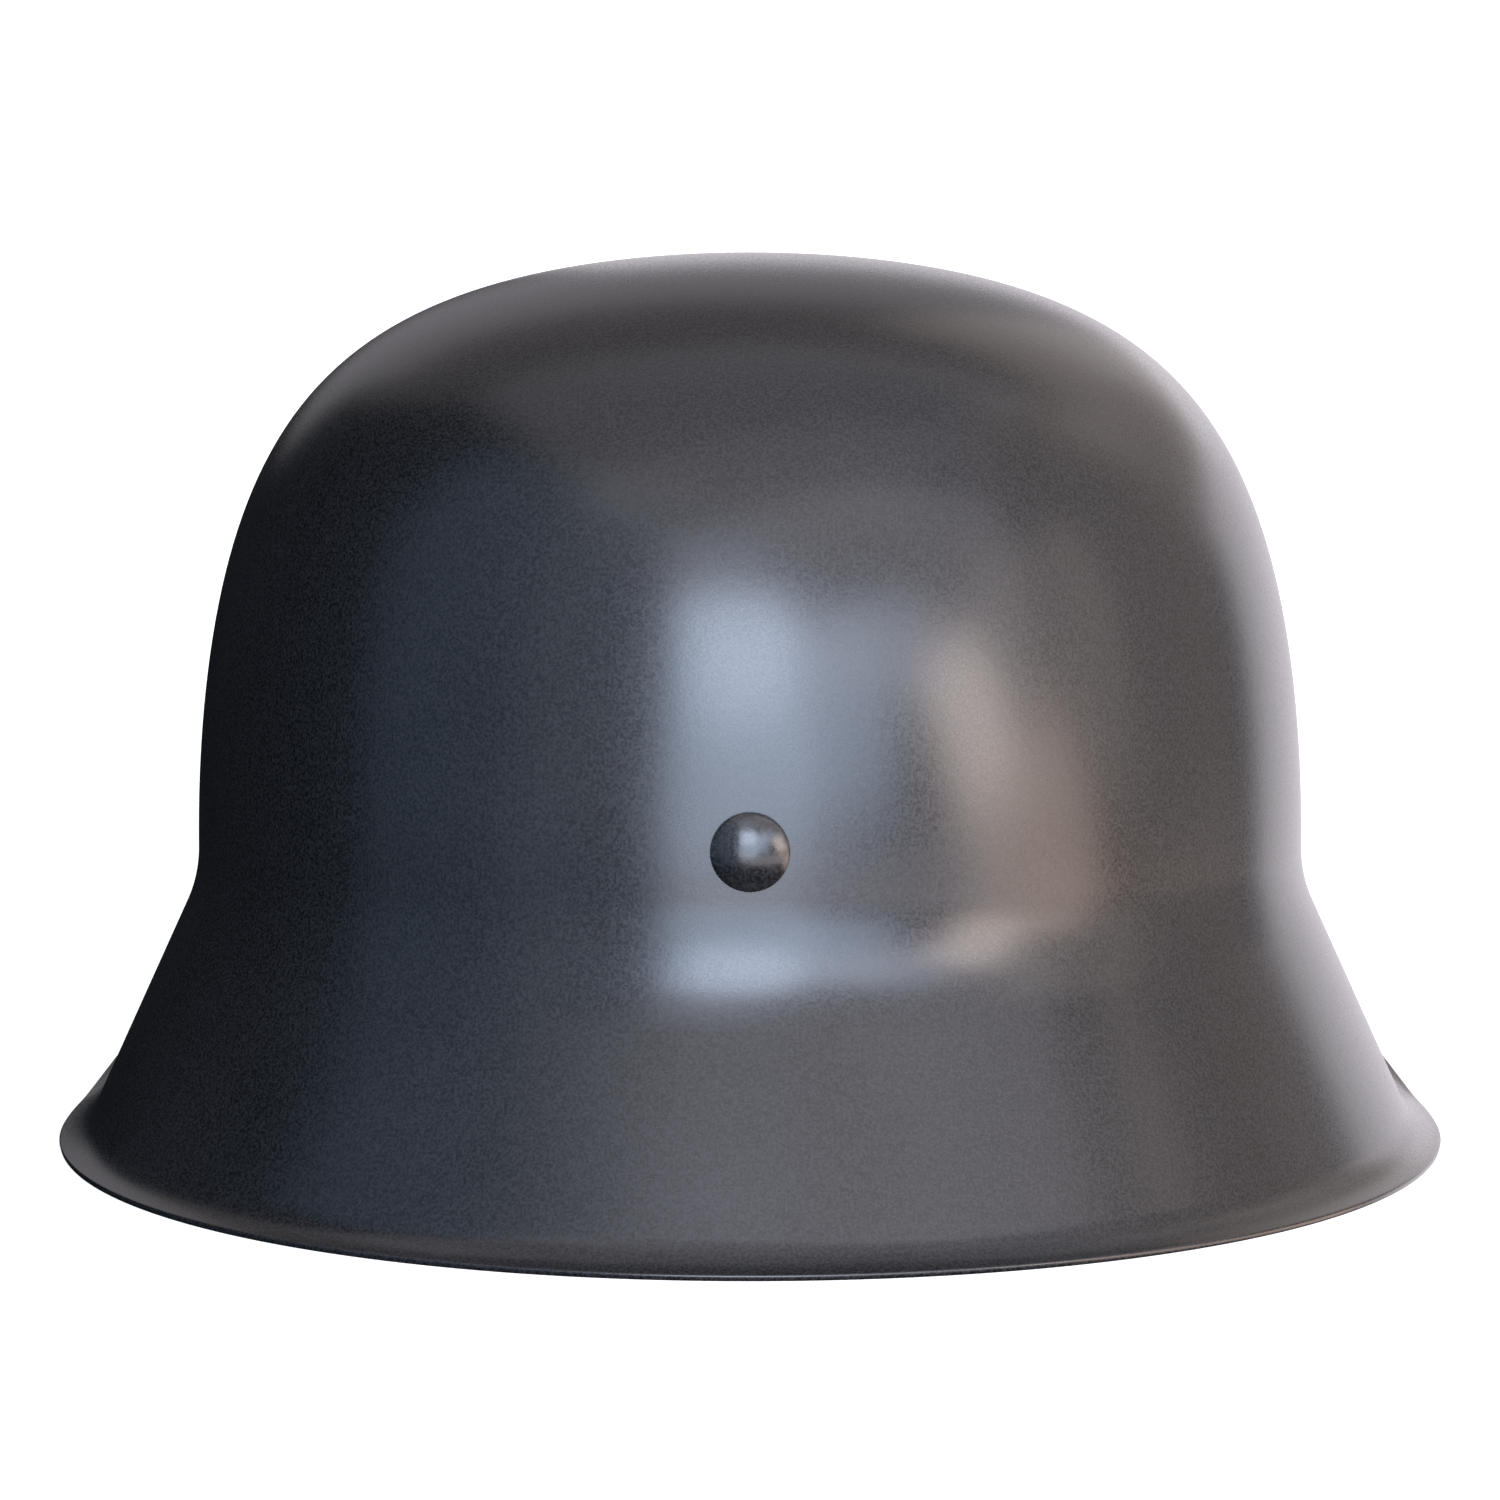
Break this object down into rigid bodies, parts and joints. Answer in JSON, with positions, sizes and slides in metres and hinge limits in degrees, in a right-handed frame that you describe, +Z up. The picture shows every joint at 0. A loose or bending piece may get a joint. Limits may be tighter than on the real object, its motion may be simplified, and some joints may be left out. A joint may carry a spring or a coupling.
{
  "type": "steel combat helmet shell",
  "caption": "Pressed steel helmet with a flared neck guard, a short peak, a raw out-turned rim, side air vents and domed liner rivets.",
  "frame": {"origin": "on the surface that the helmet stands on, midway between the peak's edge and the neck guard's edge, on the plane of symmetry", "axes": "+Z up through the crown, +Y towards the neck guard, -Y out of the peak, +X towards the wearer's left"},
  "size_m": [0.2438, 0.2818, 0.155],
  "materials": {
    "shell_paint": "satin slate-grey paint with a fine powdery orange-peel grain",
    "rivet_paint": "satin slate-grey paint, a little smoother than on the shell"
  },
  "bodies": {
    "root": {"shell": "shell_paint", "rivet_neck": "rivet_paint", "rivet_brow_left": "rivet_paint", "rivet_brow_right": "rivet_paint"}
  },
  "joints": []
}
